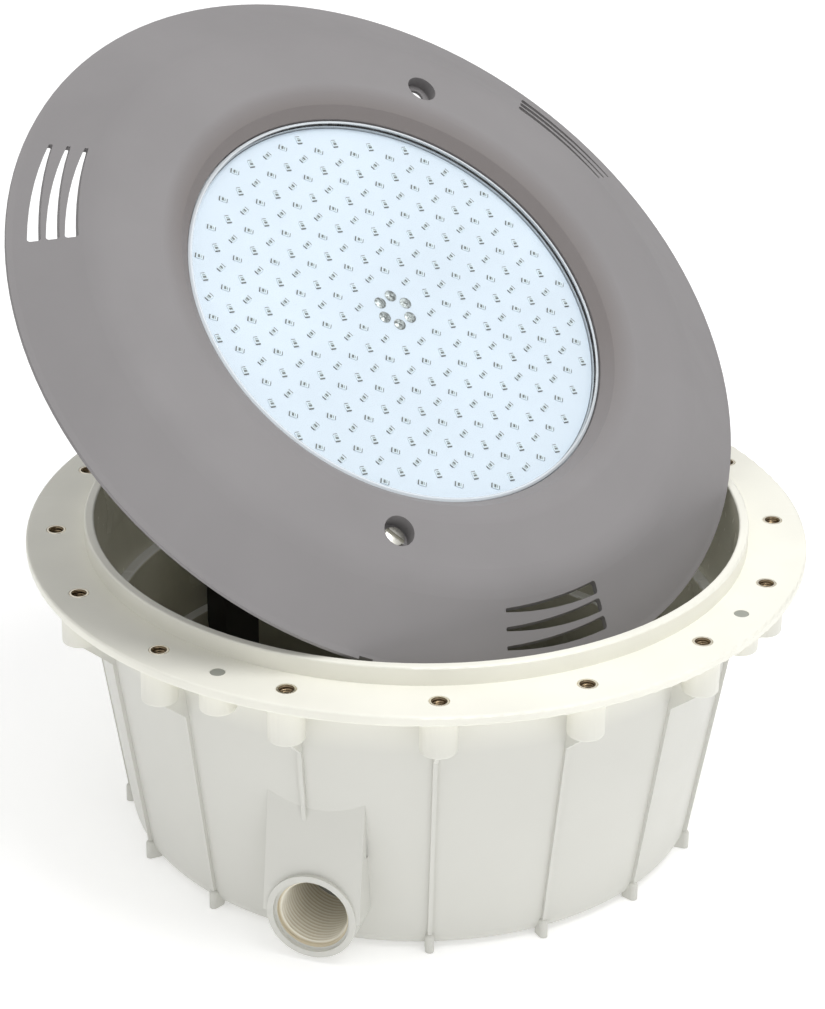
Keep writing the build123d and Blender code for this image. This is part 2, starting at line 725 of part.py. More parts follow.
def main():
    os.makedirs("parts", exist_ok=True)
    niche = {
        "niche_shell": niche_shell(),
        "flange_inserts": flange_inserts(),
        "blanking_plugs": blanking_plugs(),
        "anchor_posts": anchor_posts(),
        "anchor_inserts": anchor_inserts(),
        "post_screws": post_screws(),
    }
    light = {
        "face_ring": face_ring(),
        "lens": lens(),
        "lens_gasket": lens_gasket(),
        "lens_clamp_ring": lens_clamp_ring(),
        "clamp_screws": clamp_screws(),
        "heat_spreader": heat_spreader(),
        "led_board": led_board(),
        "led_emitters_a": led_emitters(0),
        "led_emitters_b": led_emitters(1),
        "led_emitters_c": led_emitters(2),
        "board_terminals": board_terminals(),
        "terminal_pins": terminal_pins(),
        "lamp_housing": lamp_housing(),
        "driver_board": driver_board(),
        "driver_standoffs": driver_standoffs(),
        "driver_screws": driver_screws(),
        "driver_capacitors": driver_capacitors(),
        "driver_choke": driver_choke(),
        "driver_chips": driver_chips(),
        "driver_connector": driver_connector(),
        "cable_gland": cable_gland(),
        "gland_washer": gland_washer(),
        "gland_seal": gland_seal(),
        "gland_nut": gland_nut(),
        "lamp_clips": lamp_clips(),
        "clip_screws": clip_screws(),
        "face_screw": face_screw(),
        "screw_retainer": screw_retainer(),
    }
    lean = light_location()
    for name, shape in niche.items():
        export_step(shape, f"parts/{name}.step")
    for name, shape in light.items():
        export_step(lean * shape, f"parts/{name}.step")


main()
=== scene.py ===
from math import asin, cos, pi, radians, sin, sqrt

import bmesh
import bpy
from mathutils import Matrix, Vector
from mathutils.noise import noise

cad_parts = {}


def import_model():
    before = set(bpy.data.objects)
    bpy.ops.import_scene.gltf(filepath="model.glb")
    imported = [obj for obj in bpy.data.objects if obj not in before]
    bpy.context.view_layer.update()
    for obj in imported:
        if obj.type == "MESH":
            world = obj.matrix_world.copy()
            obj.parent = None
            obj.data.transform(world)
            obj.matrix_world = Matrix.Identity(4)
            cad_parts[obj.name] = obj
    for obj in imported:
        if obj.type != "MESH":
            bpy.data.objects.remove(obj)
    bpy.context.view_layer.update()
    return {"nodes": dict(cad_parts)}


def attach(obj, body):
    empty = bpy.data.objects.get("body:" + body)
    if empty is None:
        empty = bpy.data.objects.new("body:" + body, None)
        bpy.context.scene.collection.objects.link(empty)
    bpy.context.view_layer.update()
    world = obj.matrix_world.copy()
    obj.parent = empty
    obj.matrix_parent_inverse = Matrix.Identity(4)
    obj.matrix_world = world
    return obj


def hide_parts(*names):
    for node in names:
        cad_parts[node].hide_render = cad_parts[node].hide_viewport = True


# Recessed underwater pool light: materials, fine pieces, studio and camera over the CAD model.
# Metres, in the row frame: Z up, the origin at the centre of the flange's top face.

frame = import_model()
NODES = frame["nodes"]

MM = 0.001

# Niche
INSERT_COUNT = 16
INSERT_START = 3.6
INSERT_CIRCLE_R = 132.5 * MM
INSERT_R = 3.65 * MM
INSERT_L = 12.0 * MM
THREAD_CREST_R = 2.1 * MM
THREAD_ROOT_R = 2.5 * MM
WALL_TAPER = 0.16
NICHE_DEPTH = 115.7 * MM
INSIDE_R = 122.0 * MM       # the inside colour reaches this far out at the flange, and less with depth
INSIDE_MOUTH_R = 118.9 * MM
INSIDE_TOP_Z = 6.3 * MM
FLOOR_SKIN = 1.2 * MM
PORT_AZ = -106.9
PORT_Z = -97.2 * MM
PORT_FACE_R = 120.5 * MM
PORT_BORE_R = 13.2 * MM
PORT_LIP_DEPTH = 1.6 * MM
PORT_DEPTH = 34.5 * MM
PORT_THREAD_PITCH = 1.81 * MM

# Light unit
LEAN_TILT = 38.11
LEAN_AZ = -46.26
LEAN_CENTRE = Vector((-12.7, 13.2, 74.6)) * MM
BOARD_TOP = 9.0 * MM
LENS_CLEAR_R = 80.3 * MM
LED_PITCH = 8.6 * MM
LED_LATTICE_ANGLE = 8.0
LED_FIELD_R = 77.0 * MM
LED_CLEAR_R = 11.5 * MM
LED_BODY_L = 2.75 * MM
LED_BODY_W = 2.35 * MM
LED_SHOULDER_H = 0.36 * MM
LED_RIM_H = 0.44 * MM
LED_WELL_H = 0.34 * MM
LED_CORNER = 0.15 * MM
TERMINAL_COUNT = 6
TERMINAL_START = 12.0
TERMINAL_CIRCLE_R = 6.1 * MM
TERMINAL_R = 2.3 * MM
TERMINAL_EDGE_H = 0.18 * MM
TERMINAL_DOME_H = 0.45 * MM
TERMINAL_LUMP = 0.13 * MM
SCREW_ANGLE = 217.4
SCREW_CIRCLE_R = 101.5 * MM
SCREW_SEAT_Z = 12.03 * MM
SCREW_SLOT_TURN = -65.0
HEAD_R = 3.85 * MM
HEAD_H = 2.2 * MM
SHANK_R = 3.0 * MM
SHANK_L = 50.5 * MM
SHANK_THREAD_PITCH = 1.0 * MM
SHANK_THREAD_DEPTH = 0.55 * MM
SHANK_THREAD_START = 0.45   # share of the shank that stays plain
SLOT_HALF_W = 0.7 * MM

# Studio and camera
FLOOR_HALF = 14.0
FLOOR_GAP = 0.2 * MM
KEY_LIGHT = (0.40, -0.30, 1.35)
FILL_LIGHT = (1.0, -1.6, 0.5)
SKY_LOW = 0.24
SKY_HIGH = 0.80
SKY_FULL_AT = 0.6           # height of the direction at which the sky is at its brightest
CAMERA_PLACE = (-0.00156, -1.08997, 0.53988)
CAMERA_PITCH = 0.4538
CAMERA_ROLL = -0.0146
CAMERA_LENS = 117.5


def light_matrix():
    """The light unit's own frame: Z along its axis, X level, Y up the slope."""
    tilt = radians(LEAN_TILT)
    az = radians(LEAN_AZ)
    normal = Vector((sin(tilt) * cos(az), sin(tilt) * sin(az), cos(tilt)))
    side = Vector((-sin(az), cos(az), 0))
    up = normal.cross(side)
    matrix = Matrix((side, up, normal)).transposed().to_4x4()
    matrix.translation = LEAN_CENTRE
    return matrix


def port_matrix():
    """The port's frame: Z outwards along its bore, Y up."""
    az = radians(PORT_AZ)
    outward = Vector((cos(az), sin(az), 0))
    side = Vector((-sin(az), cos(az), 0))
    matrix = Matrix((side, Vector((0, 0, 1)), outward)).transposed().to_4x4()
    matrix.translation = outward * PORT_FACE_R + Vector((0, 0, PORT_Z))
    return matrix


# --- Materials -------------------------------------------------------------------------------------
class Surface:
    """A node material with one Principled shader and patterns fixed to the object."""

    def __init__(self, name, base, roughness, metallic=0.0):
        self.material = bpy.data.materials.new(name)
        self.material.use_nodes = True
        self.tree = self.material.node_tree
        self.shader = self.tree.nodes["Principled BSDF"]
        self.shader.inputs["Base Color"].default_value = (*base, 1)
        self.shader.inputs["Roughness"].default_value = roughness
        self.shader.inputs["Metallic"].default_value = metallic
        self.place = self.node("ShaderNodeTexCoord").outputs["Object"]
        self.bump_from = None

    def node(self, kind, **settings):
        made = self.tree.nodes.new(kind)
        for key, value in settings.items():
            setattr(made, key, value)
        return made

    def feed(self, source, socket):
        if hasattr(source, "links"):
            self.tree.links.new(source, socket)
        else:
            socket.default_value = source

    def maths(self, operation, a, b=0.0, clamp=False):
        made = self.node("ShaderNodeMath", operation=operation, use_clamp=clamp)
        self.feed(a, made.inputs[0])
        self.feed(b, made.inputs[1])
        return made.outputs[0]

    def noise(self, scale, detail=2.0, stretch=(1, 1, 1)):
        mapping = self.node("ShaderNodeMapping")
        self.feed(self.place, mapping.inputs["Vector"])
        mapping.inputs["Scale"].default_value = stretch
        made = self.node("ShaderNodeTexNoise")
        self.feed(mapping.outputs[0], made.inputs["Vector"])
        made.inputs["Scale"].default_value = scale
        made.inputs["Detail"].default_value = detail
        return made.outputs["Fac"]

    def spread(self, value, low, high, to_low=0.0, to_high=1.0):
        made = self.node("ShaderNodeMapRange")
        self.feed(value, made.inputs["Value"])
        made.inputs["From Min"].default_value = low
        made.inputs["From Max"].default_value = high
        made.inputs["To Min"].default_value = to_low
        made.inputs["To Max"].default_value = to_high
        return made.outputs["Result"]

    def mix(self, factor, a, b):
        made = self.node("ShaderNodeMix", data_type="RGBA")
        self.feed(factor, made.inputs["Factor"])
        for source, socket in ((a, made.inputs[6]), (b, made.inputs[7])):
            self.feed((*source, 1) if isinstance(source, tuple) else source, socket)
        return made.outputs[2]

    def bump(self, height, depth, strength=1.0):
        made = self.node("ShaderNodeBump")
        made.inputs["Strength"].default_value = strength
        made.inputs["Distance"].default_value = depth
        self.feed(height, made.inputs["Height"])
        if self.bump_from:
            self.feed(self.bump_from, made.inputs["Normal"])
        self.bump_from = made.outputs["Normal"]
        self.feed(self.bump_from, self.shader.inputs["Normal"])

    def colour(self, source):
        self.feed(source, self.shader.inputs["Base Color"])

    def rough(self, source):
        self.feed(source, self.shader.inputs["Roughness"])

    def radius(self):
        """Distance from the niche's axis."""
        flat = self.node("ShaderNodeVectorMath", operation="MULTIPLY")
        self.feed(self.place, flat.inputs[0])
        flat.inputs[1].default_value = (1, 1, 0)
        length = self.node("ShaderNodeVectorMath", operation="LENGTH")
        self.feed(flat.outputs[0], length.inputs[0])
        return length.outputs["Value"]

    def axis_distance(self, point, direction):
        """Distance from the line through a point along a direction."""
        offset = self.node("ShaderNodeVectorMath", operation="SUBTRACT")
        self.feed(self.place, offset.inputs[0])
        offset.inputs[1].default_value = point
        across = self.node("ShaderNodeVectorMath", operation="CROSS_PRODUCT")
        self.feed(offset.outputs[0], across.inputs[0])
        across.inputs[1].default_value = direction
        length = self.node("ShaderNodeVectorMath", operation="LENGTH")
        self.feed(across.outputs[0], length.inputs[0])
        return length.outputs["Value"]

    def facing_up(self):
        """Upward part of the surface's normal: 1 where it faces straight up."""
        parts = self.node("ShaderNodeSeparateXYZ")
        self.feed(self.node("ShaderNodeNewGeometry").outputs["Normal"], parts.inputs[0])
        return parts.outputs["Z"]

    def height(self):
        """Height in the row frame."""
        parts = self.node("ShaderNodeSeparateXYZ")
        self.feed(self.place, parts.inputs[0])
        return parts.outputs["Z"]


def shade(base, factor):
    """The colour made lighter or darker."""
    return tuple(min(1.0, c * factor) for c in base)


def plastic(name, base, roughness, grain=0.00003, grain_scale=2600, mottle=0.06, scuff=0.10):
    """Moulded plastic: cloudy colour, fine moulded grain and light handling scuffs."""
    s = Surface(name, base, roughness)
    cloud = s.spread(s.noise(22, 3), 0.35, 0.65)
    tone = s.mix(cloud, shade(base, 1 - mottle), shade(base, 1 + mottle))
    scratches = s.spread(s.noise(240, 4, (0.25, 1, 0.6)), 0.66, 0.74)
    s.colour(s.mix(s.maths("MULTIPLY", scratches, scuff), tone, shade(base, 1.35)))
    patch = s.spread(s.noise(60, 4), 0.3, 0.7, roughness - 0.06, roughness + 0.06)
    s.rough(s.maths("ADD", patch, s.maths("MULTIPLY", scratches, 0.12), clamp=True))
    s.bump(s.noise(90, 2), grain * 2.5, 0.35)
    s.bump(s.noise(grain_scale, 3), grain, 0.6)
    return s


def metal(name, base, roughness, grain=(1, 1, 12), tarnish=0.25):
    """Machined metal: fine tool marks, uneven polish and a little tarnish in patches."""
    s = Surface(name, base, roughness, 1.0)
    spots = s.spread(s.noise(420, 4), 0.5, 0.72)
    s.colour(s.mix(s.maths("MULTIPLY", spots, tarnish), base, shade(base, 0.45)))
    marks = s.noise(1800, 3, grain)
    s.rough(s.spread(marks, 0.3, 0.7, roughness - 0.08, roughness + 0.14))
    s.bump(marks, 0.00003, 0.5)
    return s


CREAM = (0.86, 0.85, 0.765)


def niche_plastic():
    """Off-white shell: cream flange, a wall greyed by painted shade, and an olive inside with painted shade
    that deepens towards the bottom and painted highlights on the steps inside that face up.
    """
    s = plastic("niche_plastic", CREAM, 0.42, grain=0.00004, mottle=0.03)
    cream = s.shader.inputs["Base Color"].links[0].from_socket
    finish = s.shader.inputs["Roughness"].links[0].from_socket
    radius = s.radius()
    height = s.height()
    wall = s.maths("ADD", s.maths("MULTIPLY", height, WALL_TAPER), INSIDE_R)
    within = s.maths("LESS_THAN", radius, s.maths("MINIMUM", wall, INSIDE_MOUTH_R))
    above = s.maths("GREATER_THAN", height, -NICHE_DEPTH + FLOOR_SKIN)
    below = s.maths("LESS_THAN", height, INSIDE_TOP_Z)
    inside = s.maths("MULTIPLY", within, s.maths("MULTIPLY", above, below))
    streak = s.spread(s.noise(55, 3, (1, 1, 0.12)), 0.3, 0.7)
    olive = s.mix(streak, (0.86, 0.84, 0.69), (0.94, 0.92, 0.77))
    # Painted shade: the inside's olive darkens towards the bottom of the niche, where it lies in shadow.
    inside_painted_light = s.mix(s.spread(height, -95 * MM, -55 * MM), (0.30, 0.29, 0.23), olive)
    # Painted highlight: faces looking up inside the niche, above its floor, are lightened to near white as if
    # lit from above.
    ledge_painted_highlight = s.maths("MULTIPLY", s.spread(s.facing_up(), 0.5, 0.8), s.spread(height, -98 * MM, -92 * MM))
    inside_painted_light = s.mix(ledge_painted_highlight, inside_painted_light, (0.97, 0.97, 0.92))
    # Painted shade: the outer wall below the flange is greyed, so the upward-facing flange reads lighter than
    # the wall.
    wall_painted_shade = s.mix(0.8, cream, (0.61, 0.61, 0.575))
    outer = s.mix(s.spread(height, -28 * MM, -6 * MM), wall_painted_shade, cream)
    s.colour(s.mix(inside, outer, inside_painted_light))
    s.rough(s.maths("SUBTRACT", finish, s.maths("MULTIPLY", inside, 0.18)))
    return s


def port_plastic():
    """The niche's plastic in the port's bore: pale thread crests, and painted shade in the roots."""
    s = plastic("port_plastic", (0.95, 0.92, 0.80), 0.42, grain=0.00004, mottle=0.03)
    crest = s.shader.inputs["Base Color"].links[0].from_socket
    matrix = port_matrix()
    # Painted shade: farther from the bore's axis, in the thread's roots, the colour darkens to brown.
    depth = s.spread(
        s.axis_distance(matrix.translation, matrix.col[2].xyz), PORT_BORE_R - 0.9 * MM, PORT_BORE_R - 0.3 * MM
    )
    s.colour(s.mix(depth, crest, (0.66, 0.58, 0.42)))
    return s


def ring_plastic():
    """Warm grey ring: fine satin grain, and painted shade darkening the bevel on the upper side of the
    recess.
    """
    base = (0.256, 0.246, 0.249)
    s = plastic("ring_plastic", base, 0.62, grain=0.00003, grain_scale=3400, mottle=0.025, scuff=0.05)
    s.shader.inputs["Specular IOR Level"].default_value = 0.22
    unshaded_ring_tone = s.shader.inputs["Base Color"].links[0].from_socket
    matrix = light_matrix()
    # Painted shade: the bevel round the lens darkens on its upper side, which faces away from the light.
    recess = s.spread(s.axis_distance(LEAN_CENTRE, matrix.col[2].xyz), 86.0 * MM, 94.5 * MM, 1.0, 0.0)
    upper_side = 0.6 * matrix.col[0].xyz + 0.8 * matrix.col[1].xyz
    upper = s.node("ShaderNodeVectorMath", operation="DOT_PRODUCT")
    s.feed(s.place, upper.inputs[0])
    upper.inputs[1].default_value = upper_side
    start = upper_side.dot(LEAN_CENTRE)
    fade = s.spread(upper.outputs["Value"], start - 60 * MM, start + 15 * MM)
    recess = s.maths("MULTIPLY", recess, fade)
    s.colour(s.mix(recess, unshaded_ring_tone, shade((0.262, 0.238, 0.232), 0.76)))
    return s


def clear_lens():
    """Clear cover with a pale rim painted on as the highlight of its curved edge: lets sight through and
    mirrors a little more at a slant.
    """
    s = Surface("clear_lens", (0.9, 0.96, 1.0), 0.06)
    tree = s.tree
    tree.nodes.remove(s.shader)
    gloss = s.node("ShaderNodeBsdfGlossy")
    gloss.inputs["Color"].default_value = (1, 1, 1, 1)
    s.feed(s.spread(s.noise(70, 3), 0.3, 0.7, 0.04, 0.10), gloss.inputs["Roughness"])
    clear = s.node("ShaderNodeBsdfTransparent")
    clear.inputs["Color"].default_value = (0.975, 0.988, 0.995, 1)
    slant = s.node("ShaderNodeLayerWeight")
    slant.inputs["Blend"].default_value = 0.5
    mirror = s.maths("POWER", slant.outputs["Facing"], 4.0)
    mixer = s.node("ShaderNodeMixShader")
    s.feed(s.spread(mirror, 0, 1, 0.025, 0.7), mixer.inputs[0])
    s.feed(clear.outputs[0], mixer.inputs[1])
    s.feed(gloss.outputs[0], mixer.inputs[2])
    # Painted highlight: a pale diffuse band at the lens's edge stands in for the light its curved rim
    # catches.
    rim_painted_highlight = s.node("ShaderNodeBsdfDiffuse")
    rim_painted_highlight.inputs["Color"].default_value = (0.70, 0.74, 0.77, 1)
    rim = s.axis_distance(LEAN_CENTRE, light_matrix().col[2].xyz)
    edge = s.node("ShaderNodeMixShader")
    s.feed(s.spread(rim, LENS_CLEAR_R, LENS_CLEAR_R + 0.5 * MM, 0.0, 0.85), edge.inputs[0])
    s.feed(mixer.outputs[0], edge.inputs[1])
    s.feed(rim_painted_highlight.outputs[0], edge.inputs[2])
    s.feed(edge.outputs[0], tree.nodes["Material Output"].inputs["Surface"])
    return s


def board_white():
    """White solder mask with a faint weave and slightly uneven gloss."""
    base = (0.735, 0.800, 0.865)
    s = Surface("board_white", base, 0.45)
    cloud = s.spread(s.noise(16, 3), 0.3, 0.7)
    s.colour(s.mix(cloud, shade(base, 0.96), shade(base, 1.03)))
    s.rough(s.spread(s.noise(150, 3), 0.3, 0.7, 0.36, 0.52))
    s.bump(s.noise(1400, 2), 0.00003, 0.4)
    return s


def solder():
    """Tinned solder: dull grey metal, pitted and patchy."""
    s = Surface("solder", (0.40, 0.42, 0.41), 0.42, 0.75)
    blotch = s.spread(s.noise(900, 4), 0.42, 0.60)
    s.colour(s.mix(blotch, (0.20, 0.21, 0.20), (0.56, 0.59, 0.57)))
    s.rough(s.spread(s.noise(1500, 3), 0.3, 0.7, 0.30, 0.55))
    s.bump(s.noise(1300, 4), 0.00015, 0.8)
    return s


def resin():
    """Clear silicone over the chip, slightly milky."""
    s = Surface("led_resin", (0.70, 0.78, 0.80), 0.16)
    s.colour(s.mix(s.spread(s.noise(800, 2), 0.3, 0.7), (0.60, 0.68, 0.70), (0.78, 0.86, 0.88)))
    s.rough(s.spread(s.noise(1200, 2), 0.3, 0.7, 0.10, 0.22))
    return s


def rubber():
    """Black silicone: dull, with a little sheen."""
    s = plastic("seal_rubber", (0.035, 0.035, 0.036), 0.62, grain=0.00005, grain_scale=1800, mottle=0.15)
    s.shader.inputs["Specular IOR Level"].default_value = 0.3
    return s


def windings():
    """Enamelled copper: bright metal with fine uneven ridges."""
    s = metal("copper", (0.62, 0.28, 0.12), 0.30, (1, 1, 1), 0.15)
    s.bump(s.noise(700, 1, (6, 1, 1)), 0.0002, 0.8)
    return s


MATERIALS = {
    "niche_plastic": niche_plastic(),
    "brass": metal("brass", (0.90, 0.84, 0.70), 0.20, (1, 1, 6), 0.15),
    "black_plastic": plastic("black_plastic", (0.020, 0.020, 0.021), 0.40, mottle=0.2, scuff=0.2),
    "stainless": metal("stainless", (0.62, 0.61, 0.56), 0.30, (1, 9, 1), 0.3),
    "ring_plastic": ring_plastic(),
    "white_plastic": plastic("white_plastic", (0.80, 0.82, 0.83), 0.38, mottle=0.03),
    "plug_grey": plastic("plug_grey", (0.30, 0.31, 0.27), 0.40, mottle=0.08),
    "clear_lens": clear_lens(),
    "seal_rubber": rubber(),
    "board_white": board_white(),
    "led_package": plastic("led_package", (0.76, 0.82, 0.86), 0.45, mottle=0.04, scuff=0.0),
    "solder": solder(),
    "aluminium": metal("aluminium", (0.70, 0.71, 0.72), 0.32, (1, 14, 1), 0.1),
    "board_green": plastic("board_green", (0.02, 0.16, 0.07), 0.35, mottle=0.12, scuff=0.0),
    "capacitor_sleeve": plastic("capacitor_sleeve", (0.03, 0.04, 0.09), 0.28, mottle=0.1),
    "copper": windings(),
    "chip_black": plastic("chip_black", (0.03, 0.03, 0.032), 0.55, mottle=0.15, scuff=0.1),
    "connector_green": plastic("connector_green", (0.05, 0.30, 0.12), 0.35, mottle=0.08),
    "grey_nylon": plastic("grey_nylon", (0.16, 0.16, 0.17), 0.48, mottle=0.08),
}
RESIN = resin()
LEADS = metal("led_leads", (0.20, 0.21, 0.20), 0.45, (1, 1, 4), 0.4)
# Painted shade: the inserts' mouths and threads take a far darker brass than their faces, standing in for the
# shade inside them.
BORE_PAINTED_SHADE = metal("insert_bore", (0.28, 0.21, 0.13), 0.28, (1, 1, 6), 0.4)
PORT_PLASTIC = port_plastic()

for node in NODES.values():
    for place in node.material_slots:
        slot_name = place.material.name.split(".")[0] if place.material else None
        if slot_name in MATERIALS:
            place.material = MATERIALS[slot_name].material


# --- Mesh pieces -----------------------------------------------------------------------------------
def finish_piece(name, bm, matrix, surfaces, body, replaced=(), angle=40):
    """Turn a bmesh into a piece that rides on a body."""
    mesh = bpy.data.meshes.new(name)
    bmesh.ops.recalc_face_normals(bm, faces=bm.faces)
    bm.to_mesh(mesh)
    bm.free()
    mesh.shade_smooth()
    mesh.set_sharp_from_angle(angle=radians(angle))
    for surface in surfaces:
        mesh.materials.append(surface.material)
    piece = bpy.data.objects.new(name, mesh)
    bpy.context.scene.collection.objects.link(piece)
    mesh.transform(matrix)
    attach(piece, body)
    if replaced:
        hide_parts(*replaced)
    return piece


def skin(bm, rows, material=0):
    """Faces between rows of points; each row is a closed ring."""
    made = [[bm.verts.new(p) for p in row] for row in rows]
    count = len(made[0])
    for lower, upper in zip(made, made[1:]):
        for i in range(count):
            j = (i + 1) % count
            face = bm.faces.new((lower[i], lower[j], upper[j], upper[i]))
            face.material_index = material
    return made


def circle(radius, z, segments):
    """Level ring of points about the Z axis."""
    angles = [2 * pi * i / segments for i in range(segments)]
    return [Vector((radius * cos(a), radius * sin(a), z)) for a in angles]


def thread_rows(crest_r, root_r, pitch, top, bottom, segments, steps=6):
    """Rows of a helical thread's surface between two heights."""
    rows = []
    count = int((top - bottom) / pitch * steps)
    for j in range(count + 1):
        z = top + (bottom - top) * j / count
        row = []
        for i in range(segments):
            turn = (z / pitch + i / segments) % 1.0
            ridge = min(1.0, max(0.0, 2.4 * (0.5 - abs(turn - 0.5)) - 0.1))
            fade = min(1.0, (top - z) / pitch, (z - bottom) / pitch + 0.2)
            r = root_r + (crest_r - root_r) * ridge * fade
            row.append(Vector((r * cos(2 * pi * i / segments), r * sin(2 * pi * i / segments), z)))
        rows.append(row)
    return rows


def insert_mesh():
    """Brass insert: round outside with a broken edge, countersunk mouth and an M5 thread."""
    bm = bmesh.new()
    segments = 32
    body = [
        circle(INSERT_R, -INSERT_L, segments),
        circle(INSERT_R, -0.3 * MM, segments),
        circle(INSERT_R - 0.25 * MM, 0, segments),
        circle(2.80 * MM, 0, segments),
    ]
    mouth = [
        circle(2.80 * MM, 0, segments),
        circle(2.75 * MM, -0.25 * MM, segments),
        circle(2.45 * MM, -0.60 * MM, segments),
    ]
    bore = thread_rows(THREAD_CREST_R, THREAD_ROOT_R, 0.8 * MM, -0.8 * MM, -INSERT_L, segments, 4)
    skin(bm, body)
    # The mouth and the thread take the second surface, painted dark as shade.
    skin(bm, mouth + bore + [body[0]], material=1)
    bmesh.ops.remove_doubles(bm, verts=bm.verts, dist=1e-6)
    return bm


def copies(bm, matrices):
    """The same mesh at each place, as one bmesh."""
    source = bpy.data.meshes.new("copy")
    bm.to_mesh(source)
    bm.free()
    made = bmesh.new()
    for matrix in matrices:
        start = len(made.verts)
        made.from_mesh(source)
        made.verts.ensure_lookup_table()
        bmesh.ops.transform(made, matrix=matrix, verts=made.verts[start:])
    bpy.data.meshes.remove(source)
    return made


def turn_z(degrees):
    return Matrix.Rotation(radians(degrees), 4, "Z")


def inserts():
    out = Matrix.Translation((INSERT_CIRCLE_R, 0, 0))
    step = 360 / INSERT_COUNT
    places = [turn_z(INSERT_START + step * k) @ out for k in range(INSERT_COUNT)]
    bm = copies(insert_mesh(), places)
    surfaces = [MATERIALS["brass"], BORE_PAINTED_SHADE]
    finish_piece("threaded_inserts", bm, Matrix(), surfaces, "niche", ["flange_inserts"])


def port_thread():
    """The conduit port's pipe thread, cut in the niche's own plastic."""
    bm = bmesh.new()
    segments = 96
    top = -PORT_LIP_DEPTH - 0.1 * MM
    bottom = -PORT_DEPTH + 0.2 * MM
    crest_r = PORT_BORE_R - 1.15 * MM
    root_r = PORT_BORE_R - 0.05 * MM
    rows = thread_rows(crest_r, root_r, PORT_THREAD_PITCH, top, bottom, segments, 8)
    outer = PORT_BORE_R + 0.15 * MM
    rows = [circle(outer, top, segments)] + rows + [circle(outer, bottom, segments)]
    skin(bm, rows + [rows[0]])
    bmesh.ops.remove_doubles(bm, verts=bm.verts, dist=1e-6)
    finish_piece("port_thread", bm, port_matrix(), [PORT_PLASTIC], "niche")


def rectangle(length, width, z, corner, per_corner=3):
    """Rounded rectangle as a ring of points."""
    points = []
    for quarter, (sx, sy) in enumerate(((1, 1), (-1, 1), (-1, -1), (1, -1))):
        centre = Vector((sx * (length / 2 - corner), sy * (width / 2 - corner), z))
        for k in range(per_corner):
            angle = pi / 2 * (quarter + k / (per_corner - 1))
            points.append(centre + Vector((corner * cos(angle), corner * sin(angle), 0)))
    return points


def block(bm, length, width, low, high, corner, place=(0, 0), material=0):
    """Rounded block with a soft top edge."""
    edge = corner * 0.4
    rows = [
        rectangle(length, width, low, corner),
        rectangle(length, width, high - edge, corner),
        rectangle(length - 2 * edge, width - 2 * edge, high, corner * 0.7),
    ]
    rows = [[p + Vector((*place, 0)) for p in row] for row in rows]
    made = skin(bm, rows, material=material)
    for ring in (made[0], made[-1]):
        bm.faces.new(ring).material_index = material


def led_mesh():
    """White LED package: low cup with resin and chip, leads and solder at both ends, the larger at +X."""
    bm = bmesh.new()
    length = LED_BODY_L
    width = LED_BODY_W
    well_corner = 0.25 * MM
    rows = [
        rectangle(length, width, 0, LED_CORNER),
        rectangle(length - 0.15 * MM, width - 0.15 * MM, LED_SHOULDER_H, LED_CORNER),
        rectangle(length - 0.50 * MM, width - 0.50 * MM, LED_RIM_H, well_corner),
        rectangle(length - 0.80 * MM, width - 0.70 * MM, LED_WELL_H, well_corner),
    ]
    made = skin(bm, rows)
    bm.faces.new(made[0])
    bm.faces.new(made[-1]).material_index = 1
    block(bm, 0.75 * MM, 1.25 * MM, 0.30 * MM, 0.42 * MM, 0.08 * MM, (0.25 * MM, 0), 2)
    block(bm, 0.18 * MM, 1.10 * MM, 0.30 * MM, 0.40 * MM, 0.06 * MM, (-0.62 * MM, 0), 2)
    block(bm, 0.42 * MM, 1.95 * MM, 0, 0.34 * MM, 0.12 * MM, (1.48 * MM, 0), 2)
    block(bm, 0.26 * MM, 1.60 * MM, 0, 0.28 * MM, 0.10 * MM, (-1.50 * MM, 0), 2)
    return bm


def led_places(kind):
    """Places of one of the three orientations on the board's triangular lattice."""
    places = []
    reach = int(LED_FIELD_R / LED_PITCH * 1.3) + 1
    for i in range(-reach, reach + 1):
        for j in range(-reach, reach + 1):
            x = LED_PITCH * (i + 0.5 * j)
            y = LED_PITCH * j * sqrt(3) / 2
            if (i - j) % 3 == kind and LED_CLEAR_R < sqrt(x * x + y * y) < LED_FIELD_R:
                place = Matrix.Translation((x, y, BOARD_TOP)) @ turn_z(12 + 120 * kind)
                places.append(turn_z(LED_LATTICE_ANGLE) @ place)
    return places


def leds():
    """The three sets of LED packages."""
    surfaces = [MATERIALS["led_package"], RESIN, LEADS]
    for kind, letter in enumerate("abc"):
        bm = copies(led_mesh(), led_places(kind))
        replaced = [f"led_emitters_{letter}"]
        finish_piece(f"leds_{letter}", bm, light_matrix(), surfaces, "light", replaced, 30)


def terminal_mesh(seed):
    """Solder joint: a low, lumpy dome round the pin."""
    bm = bmesh.new()
    segments = 36
    steps = 9
    rows = [circle(TERMINAL_R, 0, segments)]
    for j in range(steps):
        share = 1 - j / steps
        row = circle(TERMINAL_R * share, TERMINAL_EDGE_H + TERMINAL_DOME_H * (1 - share**2), segments)
        for p in row:
            lump = noise(Vector((p.x * 900 + seed * 7, p.y * 900, seed * 3.1)))
            p.z += TERMINAL_LUMP * lump
        rows.append(row)
    made = skin(bm, rows)
    bm.faces.new(made[-1])
    bm.faces.new(made[0])
    return bm


